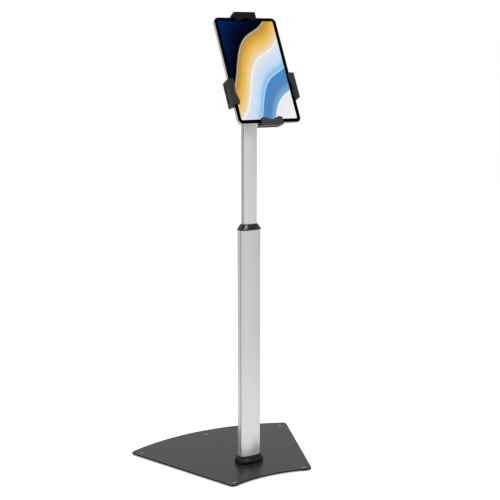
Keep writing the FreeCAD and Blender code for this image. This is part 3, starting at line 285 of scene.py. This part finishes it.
# The lower column is lightened toward its foot as painted light; both get painted shade on sides and corners.
lower_finish = brushed_aluminium("brushed_lower_column", half_width=0.027, half_flat=0.0076,
                                 dark=srgb(160, 160, 160), light=srgb(196, 196, 196),
                                 painted_side_shade=0.05, painted_foot_light=0.5)
upper_finish = brushed_aluminium("brushed_upper_column", half_width=0.0183, half_flat=0.00495,
                                 dark=srgb(174, 174, 174), light=srgb(208, 208, 208),
                                 painted_side_shade=0.45, painted_foot_light=0.0)
dress(lower_finish, ["lower_column", "height_boss"])
dress(upper_finish, ["upper_column"])


# Castings inside the columns and in the head
# The inserts in the columns' ends and the tilting block are cast aluminium, blasted, with a coarse skin.
cast_finish = Finish("blasted_cast_aluminium", {"Metallic": 0.9})
spot = cast_finish.place()
skin = cast_finish.noise(spot, 1400.0, 3.0)
stain = cast_finish.noise(spot, 50.0, 3.0)
cast_finish.vary("Base Color", cast_finish.blend(stain, srgb(150, 150, 151), srgb(172, 172, 172)))
cast_finish.vary("Roughness", 0.5 + 0.15 * skin)
cast_finish.bump(skin, 0.00006, 0.7)
dress(cast_finish, ["column_plug", "head_plug", "tilt_block"])
soften(["tilt_block"], width=0.001, segments=3)


# Column boot
# A black plastic cover that hides the joint between the column and the plate. Its sides swell like a barrel,
# and its four upright corners stay crisp. It is clipped over the column's foot.
def column_outline(width, flat, bulge, count, corner):
    """Closed outline of a column: arcs in front and behind between flat sides. The arcs' radius is that of a
    circle through the side's ends and the bulge's crest. Each corner is cut off between two points that lie
    the corner's length along the arc and along the side."""
    radius = (width ** 2 / 4 + bulge ** 2) / (2 * bulge)
    centre = flat / 2 + bulge - radius
    along = np.linspace(0.0, 1.0, count)
    spread = np.arcsin(width / 2 / radius)
    turn = spread * (1 - 2 * along)
    back = np.stack([radius * np.sin(turn), centre + radius * np.cos(turn)], 1)
    side = np.stack([np.full(count, -width / 2), flat / 2 * (1 - 2 * along)], 1)
    half = np.concatenate([trim(back, corner), trim(side, corner)])
    return np.concatenate([half, -half])


def trim(run, corner):
    """A run of points with both ends cut short by the corner's length, evenly spaced along the run."""
    steps = np.linalg.norm(np.diff(run, axis=0), axis=1)
    reach = np.concatenate([[0.0], np.cumsum(steps)])
    wanted = np.linspace(corner, reach[-1] - corner, len(run))
    return np.stack([np.interp(wanted, reach, run[:, axis]) for axis in (0, 1)], 1)


def surface(name, grid, closed_rows=False, capped=False):
    """Mesh piece from a grid of points: rows along the first parameter, and closed rings along the second.
    closed_rows joins the last ring to the first. capped closes the first and the last ring with a fan."""
    rows, ring = grid.shape[:2]
    i = np.arange(rows if closed_rows else rows - 1)[:, None]
    j = np.arange(ring)[None, :]
    next_i = (i + 1) % rows
    next_j = (j + 1) % ring
    corners = np.stack([i * ring + j, i * ring + next_j, next_i * ring + next_j, next_i * ring + j], -1)
    faces = corners.reshape(-1, 4).tolist()
    points = grid.reshape(-1, 3)
    if capped:
        points = np.concatenate([points, grid[0].mean(0)[None], grid[-1].mean(0)[None]])
        first, last = rows * ring, rows * ring + 1
        around = np.arange(ring)
        after = (around + 1) % ring
        base = (rows - 1) * ring
        faces += np.stack([np.full(ring, first), after, around], 1).tolist()
        faces += np.stack([np.full(ring, last), base + around, base + after], 1).tolist()
    mesh = bpy.data.meshes.new(name)
    mesh.from_pydata(points.tolist(), [], faces)
    mesh.polygons.foreach_set("use_smooth", np.ones(len(mesh.polygons), bool))
    mesh.update()
    piece = bpy.data.objects.new(name, mesh)
    bpy.context.scene.collection.objects.link(piece)
    return piece


def finish_piece(piece, finish, body, replaced):
    """Gives a new piece its finish, its body and the CAD node that it stands for."""
    piece.data.materials.append(finish.material)
    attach(piece, body)
    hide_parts(replaced)


plastic_finish = Finish("fine_grained_black_plastic", {"Specular IOR Level": 0.08, "Coat Weight": 0.1,
                                                      "Coat Roughness": 0.16})
spot = plastic_finish.place()
leather = plastic_finish.noise(spot, 1500.0, 2.0)
wear = plastic_finish.noise(spot, 35.0, 3.0)
plastic_finish.vary("Base Color", plastic_finish.blend(wear, srgb(12, 12, 13), srgb(19, 19, 19)))
plastic_finish.vary("Roughness", 0.3 + 0.1 * wear + 0.06 * leather)
plastic_finish.bump(leather, 0.00003, 0.6)

boot_low, boot_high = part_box("column_boot")
boot_height = boot_high.z - boot_low.z
column_width, column_flat, column_bulge = 0.054, 0.0152, 0.0055
foot_grow, belly_grow, lip_grow = 0.0048, 0.0062, 0.001
belly_share = 0.27
belly_bulge = 0.0025
foot_power, lip_power = 1.6, 1.5
lip_width = 0.0005
foot_width = 0.001
column_gap = 0.0002
corner_cut = 0.0008
points_per_side = 24
# The column's outline grows from the foot to the belly and draws in again to the lip, each by a power
# curve over the height. The rings then turn in over the lip and go down inside along the column.
rise = np.linspace(0.0, 1.0, 25)
lower = 1 - (1 - np.clip(rise / belly_share, 0, 1)) ** foot_power
upper = 1 - np.clip((rise - belly_share) / (1 - belly_share), 0, 1) ** lip_power
grow = np.where(rise < belly_share, foot_grow + (belly_grow - foot_grow) * lower,
                lip_grow + (belly_grow - lip_grow) * upper)
swell = belly_bulge * np.clip((grow - lip_grow) / (belly_grow - lip_grow), 0, 1)
boot_levels = list(zip(grow, swell, boot_low.z + rise * boot_height))
boot_levels += [(lip_grow - lip_width, 0.0, boot_high.z), (column_gap, 0.0, boot_high.z),
                (column_gap, 0.0, boot_low.z), (foot_grow - foot_width, 0.0, boot_low.z)]
boot_rings = []
for wider, rounder, level in boot_levels:
    outline = column_outline(column_width + 2 * wider, column_flat + 2 * wider, column_bulge + rounder,
                             points_per_side, corner_cut)
    boot_rings.append(np.column_stack([outline, np.full(len(outline), level)]))
boot = surface("column_boot_cover", np.array(boot_rings), closed_rows=True)
finish_piece(boot, plastic_finish, "stand", "column_boot")
dress(plastic_finish, ["column_boot"])


# Column collar
# A gloss black moulding pressed into the lower column's top. It guides the upper column and hides the gap.
gloss_finish = Finish("gloss_black_plastic", {"Specular IOR Level": 0.1, "Coat Roughness": 0.1,
                                              "Coat Weight": 0.4})
spot = gloss_finish.place()
haze = gloss_finish.noise(spot, 90.0, 3.0)
ripple = gloss_finish.noise(spot, 320.0, 1.0)
gloss_finish.vary("Base Color", gloss_finish.blend(haze, srgb(8, 8, 9), srgb(12, 12, 13)))
gloss_finish.vary("Roughness", 0.14 + 0.1 * haze)
gloss_finish.bump(ripple, 0.00001, 0.4)
dress(gloss_finish, ["column_collar"])
soften(["column_collar"], width=0.0006, segments=3)


# Nylon wear parts
# Bushes, brake pad, friction discs, swivel washer and the arms' gear are moulded in natural nylon.
nylon_finish = Finish("natural_nylon", {"Specular IOR Level": 0.4})
spot = nylon_finish.place()
tint = nylon_finish.noise(spot, 80.0, 2.0)
nylon_finish.vary("Base Color", nylon_finish.blend(tint, srgb(205, 202, 190), srgb(216, 214, 205)))
nylon_finish.vary("Roughness", 0.45 + 0.15 * tint)
nylon_finish.bump(nylon_finish.noise(spot, 1800.0, 2.0), 0.00002, 0.5)
dress(nylon_finish, ["guide_bush", "tail_bush", "brake_pad", "tilt_washers", "turn_washer", "arm_pinion"])


# Hand knobs
# Moulded black knobs with six finger hollows, a domed rim and a sunk cap. One clamps the height from behind,
# one the tilt from the side, and two small ones hold the upright arms.
def knob(radius, height, shank_radius=0.0, shank_end=0.0):
    """Turned surface about +Z. At each height and angle the radius is the profile's, less a hollow that
    goes as one plus the cosine of six times the angle. The hollows fade on the shank and the cap. Each point
    of the profile is a radius, a height and the hollows' share."""
    lobes = 6
    hollow_share = 0.068
    rim = 0.0022
    bend = np.linspace(0, np.pi / 2, 8)
    if shank_radius:
        profile = [(0.0005, shank_end, 0), (shank_radius, shank_end, 0), (shank_radius, 0.0002, 0)]
    else:
        profile = [(radius * 0.3, 0.0, 0)]
    profile += [(radius * 0.62, 0.0, 0), (radius - 0.0008, 0.0, 1), (radius - 0.0002, 0.0003, 1),
                (radius, 0.001, 1)]
    profile += [(radius - rim + rim * math.cos(a), height - rim + rim * math.sin(a), 1) for a in bend]
    profile += [(radius * 0.74, height, 0.5), (radius * 0.62, height, 0), (radius * 0.6, height - 0.0008, 0),
                (radius * 0.57, height - 0.0009, 0), (radius * 0.3, height - 0.0006, 0),
                (radius * 0.02, height - 0.0005, 0)]
    table = np.array(profile)
    angle = np.linspace(0, 2 * np.pi, 96, endpoint=False)
    hollow = hollow_share * radius * table[:, 2:3] * (1 + np.cos(lobes * angle))[None, :]
    reach = table[:, 0:1] - hollow
    along = np.repeat(table[:, 1:2], len(angle), 1)
    return np.stack([reach * np.cos(angle), reach * np.sin(angle), along], -1)


def stand_at(grid, place, direction):
    """Turns a surface made about +Z to another direction and moves its origin to place."""
    axis = np.array(direction, float)
    axis /= np.linalg.norm(axis)
    side = np.cross([0.0, 0.0, 1.0] if abs(axis[2]) < 0.9 else [1.0, 0.0, 0.0], axis)
    side /= np.linalg.norm(side)
    basis = np.stack([side, np.cross(axis, side), axis])
    return grid @ basis + np.array(place)


rest_tilt = math.radians(27.14)
pivot = np.array([0.0, 0.0, 0.882])


def in_head(x, y, z):
    """Where a point of the head's own upright frame at the pivot stands, in metres. The frame is turned back
    about X by rest_tilt."""
    turned_y = y * math.cos(rest_tilt) + z * math.sin(rest_tilt)
    turned_z = -y * math.sin(rest_tilt) + z * math.cos(rest_tilt)
    return pivot + np.array([x, turned_y, turned_z])


head_back = in_head(0.0, 1.0, 0.0) - pivot
clamp_height = 0.556
height_low, height_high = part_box("height_knob")
tilt_low, tilt_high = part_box("tilt_knob")
height_grid = knob(radius=0.0125, height=height_high.y - height_low.y)
tilt_grid = knob(radius=0.014, height=tilt_high.x - tilt_low.x)
thumb_grid = knob(radius=0.009, height=0.008, shank_radius=0.0025, shank_end=-0.00908)
thumb_seat = -0.0364
thumb_spread = 0.04
knobs = [
    ("height_clamp_knob", "height_knob", "height_clamp", height_grid,
     (0.0, height_low.y, clamp_height), (0, 1, 0)),
    ("tilt_clamp_knob", "tilt_knob", "tilt_clamp", tilt_grid, (tilt_low.x, 0.0, pivot[2]), (1, 0, 0))]
for side, sign in (("top", 1), ("bottom", -1)):
    knobs.append((f"{side}_thumb_screw", f"{side}_arm_screw", f"{side}_clamp", thumb_grid,
                  in_head(0.0, thumb_seat, sign * thumb_spread), head_back))
for name, node, body, grid, place, direction in knobs:
    piece = surface(name, stand_at(grid, place, direction), capped=True)
    finish_piece(piece, plastic_finish, body, node)
    dress(plastic_finish, [node])


# Head bracket and arms
# Cut steel, coated black: the clevis on the column's end, the two racked side arms, the two upright arms
# and the small screws of the column, the housing and the jaws. The coat is finely textured.
steel_finish = Finish("black_coated_steel", {"Specular IOR Level": 0.4})
spot = steel_finish.place()
crackle = steel_finish.noise(spot, 1100.0, 2.0)
rub = steel_finish.noise(spot, 70.0, 3.0)
steel_finish.vary("Base Color", steel_finish.blend(rub, srgb(22, 22, 23), srgb(31, 31, 32)))
steel_finish.vary("Roughness", 0.38 + 0.12 * rub)
steel_finish.bump(crackle, 0.00004, 0.5)
dress(steel_finish, ["head_bracket", "left_arm", "right_arm", "top_arm", "bottom_arm", "column_screws",
                     "housing_screws"])
dress(steel_finish, [f"{side}_jaw_screws" for side in jaw_sides])
soften(["head_bracket", "top_arm", "bottom_arm"], width=0.0006)


# Holder housing
# Two black moulded half shells, screwed together at their corners, that guide the four arms.
def moulded_plastic(name, dark, light, shine):
    """Moulded plastic with a fine spark grain, from dark to light where hands have rubbed it."""
    finish = Finish(name, {"Specular IOR Level": shine})
    spot = finish.place()
    leather = finish.noise(spot, 1300.0, 2.0)
    rubbed = finish.noise(spot, 45.0, 3.0)
    finish.vary("Base Color", finish.blend(rubbed, dark, light))
    finish.vary("Roughness", 0.36 + 0.12 * rubbed + 0.06 * leather)
    finish.bump(leather, 0.00003, 0.6)
    return finish


holder_finish = moulded_plastic("spark_grained_holder_plastic", srgb(29, 29, 30), srgb(39, 39, 39),
                                shine=0.12)
dress(holder_finish, ["rear_housing", "front_housing"])
soften(["rear_housing", "front_housing"], width=0.0008, segments=3)


# Jaws
# Four black moulded hooks with a waved lip, screwed to the arms' ends and lined with rubber.
# The top jaw's plastic is darkened as painted shade, the bottom jaw's lightened as painted light.
shaded_top_jaw_finish = moulded_plastic("jaw_plastic_painted_shade", srgb(8, 8, 9), srgb(12, 12, 12), shine=0.05)
lit_bottom_jaw_finish = moulded_plastic("jaw_plastic_painted_light", srgb(39, 40, 42), srgb(50, 51, 53),
                                    shine=0.14)
dress(holder_finish, ["left_jaw", "right_jaw"])
dress(shaded_top_jaw_finish, ["top_jaw"])
dress(lit_bottom_jaw_finish, ["bottom_jaw"])
soften([f"{side}_jaw" for side in jaw_sides], width=0.0009, segments=3)


# Tablet
# A blasted aluminium tray with painted shade along its rounded back edge and a dark line along its front
# rim, a cover glass with a black border, and a lit display.
tablet_width, tablet_height, tablet_above = 0.163, 0.263, 0.05
tablet_back = -0.0617
tablet_thickness = 0.008
edge_depth = 0.00434
edge_fade = 0.0014
flat_depth = 0.0006
rim_depth = 0.0005
border = 0.0088
window_corner = 0.003
window_lift = 0.0005


def head_place(finish):
    """X, Y and Z in the head's own upright frame, X and Z from the tablet's middle and Y from the pivot."""
    x, y, z = finish.parts(finish.place(turn=(rest_tilt, 0, 0), centre=tuple(pivot)))
    return x, y, z - tablet_above


shell_finish = Finish("blasted_silver_aluminium", {"Metallic": 1.0})
spot = shell_finish.place()
x, y, z = head_place(shell_finish)
blast = shell_finish.noise(spot, 3000.0, 1.0)
silver = shell_finish.blend(shell_finish.noise(spot, 20.0, 2.0), srgb(196, 197, 199), srgb(208, 209, 211))
# A band of painted shade over the rounded back edge starts edge_depth in front of the back face and ends
# flat_depth in front of it. A dark line runs along the front rim.
painted_edge_shade = ((y - (tablet_back - edge_depth)) / edge_fade).clip()
flat_back = y > tablet_back - flat_depth
front_rim = y < tablet_back - tablet_thickness + rim_depth
edge_shade_and_rim_line = (painted_edge_shade - flat_back + front_rim).clip()
shell_finish.vary("Base Color", shell_finish.blend(0.92 * edge_shade_and_rim_line, silver, srgb(30, 30, 32)))
shell_finish.vary("Roughness", 0.3 + 0.08 * blast)
shell_finish.bump(blast, 0.00001, 0.5)
dress(shell_finish, ["tablet_shell"])

glass_finish = Finish("bordered_cover_glass", {"Base Color": (0.0006, 0.0006, 0.0008, 1.0),
                                               "Roughness": 0.08, "Specular IOR Level": 0.01})
# The glass is clear inside a window with round corners: the distance past the centres of the corners'
# circles is less than their radius there.
x, y, z = head_place(glass_finish)
beyond_x = abs(x) - (tablet_width / 2 - border - window_corner)
beyond_z = abs(z - window_lift) - (tablet_height / 2 - border - window_corner)
over_x = beyond_x.math("MAXIMUM", beyond_x, 0.0)
over_z = beyond_z.math("MAXIMUM", beyond_z, 0.0)
distance = over_x.math("SQRT", over_x * over_x + over_z * over_z)
frame_mask = distance > window_corner
glass_finish.vary("Alpha", 0.04 + 0.96 * frame_mask)
dress(glass_finish, ["tablet_glass"])

screen_finish = Finish("lit_display", {"Base Color": (0.0, 0.0, 0.0, 1.0), "Roughness": 0.3,
                                       "Specular IOR Level": 0.0, "Emission Strength": 1.05})
# The colours go along a diagonal from the top left corner to the bottom right one, bent by a sine wave.
x, y, z = head_place(screen_finish)
across = x / tablet_width + 0.5
down = 0.5 - z / tablet_height
phase = across * 5.2 - down * 3.4 + 0.6
fold = 0.47 * across + 0.53 * down + 0.045 * phase.math("SINE", phase)
wave_bands = screen_finish.node("ShaderNodeValToRGB", {"stops": [
    (0.0, srgb(10, 58, 112)), (0.13, srgb(4, 34, 80)), (0.27, srgb(2, 10, 34)), (0.335, srgb(1, 6, 22)),
    (0.343, srgb(205, 192, 160)), (0.352, srgb(170, 140, 92)), (0.40, srgb(228, 172, 58)),
    (0.445, srgb(236, 198, 116)), (0.50, srgb(240, 222, 180)), (0.508, srgb(250, 250, 248)),
    (0.52, srgb(226, 231, 241)), (0.61, srgb(196, 222, 246)), (0.655, srgb(132, 188, 230)),
    (0.663, srgb(206, 232, 250)), (0.672, srgb(62, 144, 208)), (0.75, srgb(88, 132, 186)),
    (0.81, srgb(126, 178, 224)), (0.82, srgb(250, 250, 252)), (0.832, srgb(232, 236, 244)),
    (1.0, srgb(246, 246, 249))]}, {"Fac": fold})
screen_finish.vary("Emission Color", wave_bands)
dress(screen_finish, ["tablet_display"])


# Floor, light and camera
# A white studio floor that keeps a soft shadow, an even white surround, and three soft square lamps.
floor_mesh = bpy.data.meshes.new("studio_floor")
reach = 30.0
floor_mesh.from_pydata([(-reach, -reach, 0), (reach, -reach, 0), (reach, reach, 0), (-reach, reach, 0)], [],
                       [(0, 1, 2, 3)])
floor = bpy.data.objects.new("studio_floor", floor_mesh)
bpy.context.scene.collection.objects.link(floor)
floor_finish = Finish("white_floor", {"Roughness": 0.9, "Specular IOR Level": 0.0,
                                      "Emission Strength": 1.0})
paper = floor_finish.noise(floor_finish.place(), 40.0, 2.0)
floor_finish.vary("Base Color", floor_finish.blend(paper, (0.85, 0.85, 0.85, 1.0), (0.87, 0.87, 0.87, 1.0)))
# The camera, mirrors and clear things see the floor lifted to white, and its shadow stays.
seen = sum(floor_finish.node("ShaderNodeLightPath", {}, {}, f"Is {kind} Ray")
           for kind in ("Camera", "Glossy", "Transmission"))
lift = floor_finish.blend(seen.clip(), (0.0, 0.0, 0.0, 1.0), (0.4, 0.4, 0.4, 1.0))
floor_finish.vary("Emission Color", lift)
floor_mesh.materials.append(floor_finish.material)

world = bpy.data.worlds.new("white_surround")
bpy.context.scene.world = world
world.use_nodes = True
tree = world.node_tree
surround = tree.nodes["Background"]
surround.inputs["Color"].default_value = (1.0, 1.0, 1.0, 1.0)
# The surround lights the stand at the lower strength, and is seen and mirrored at the full one.
light_path = tree.nodes.new("ShaderNodeLightPath")
seen_or_mirrored = light_path.outputs["Is Camera Ray"]
for kind in ("Glossy", "Transmission"):
    either = tree.nodes.new("ShaderNodeMath")
    either.operation = "MAXIMUM"
    tree.links.new(seen_or_mirrored, either.inputs[0])
    tree.links.new(light_path.outputs[f"Is {kind} Ray"], either.inputs[1])
    seen_or_mirrored = either.outputs[0]
strength = tree.nodes.new("ShaderNodeMapRange")
strength.inputs["To Min"].default_value = 0.7
strength.inputs["To Max"].default_value = 1.0
tree.links.new(seen_or_mirrored, strength.inputs["Value"])
tree.links.new(strength.outputs["Result"], surround.inputs["Strength"])


def soft_lamp(name, place, aim, size, power):
    """Square area lamp that faces its aim."""
    lamp = bpy.data.lights.new(name, "AREA")
    lamp.shape = "SQUARE"
    lamp.size = size
    lamp.energy = power
    holder = bpy.data.objects.new(name, lamp)
    bpy.context.scene.collection.objects.link(holder)
    holder.location = place
    direction = np.array(place, float) - np.array(aim, float)
    yaw = math.atan2(direction[1], direction[0])
    pitch = math.acos(direction[2] / np.linalg.norm(direction))
    holder.rotation_euler = (0.0, pitch, yaw)


soft_lamp("left_softbox", place=(-2.6, -1.6, 2.2), aim=(0.0, 0.0, 0.6), size=1.6, power=32.0)
soft_lamp("overhead_softbox", place=(0.6, -0.4, 3.2), aim=(0.0, 0.0, 0.4), size=2.0, power=24.0)
soft_lamp("front_softbox", place=(0.12, -2.19, 1.56), aim=(0.0, 0.0, 0.6), size=0.6, power=14.0)

camera = bpy.data.cameras.new("photo_camera")
camera.sensor_width = 36.0
camera.lens = 79.47
camera.shift_x = 0.0019
camera.clip_end = 200.0
camera_holder = bpy.data.objects.new("photo_camera", camera)
bpy.context.scene.collection.objects.link(camera_holder)
camera_holder.location = (-1.279, -2.240, 1.006)
camera_holder.rotation_euler = (math.radians(90 - 10.35), 0.0, math.radians(-29.73))
bpy.context.scene.camera = camera_holder

bpy.context.scene.view_settings.view_transform = "Standard"
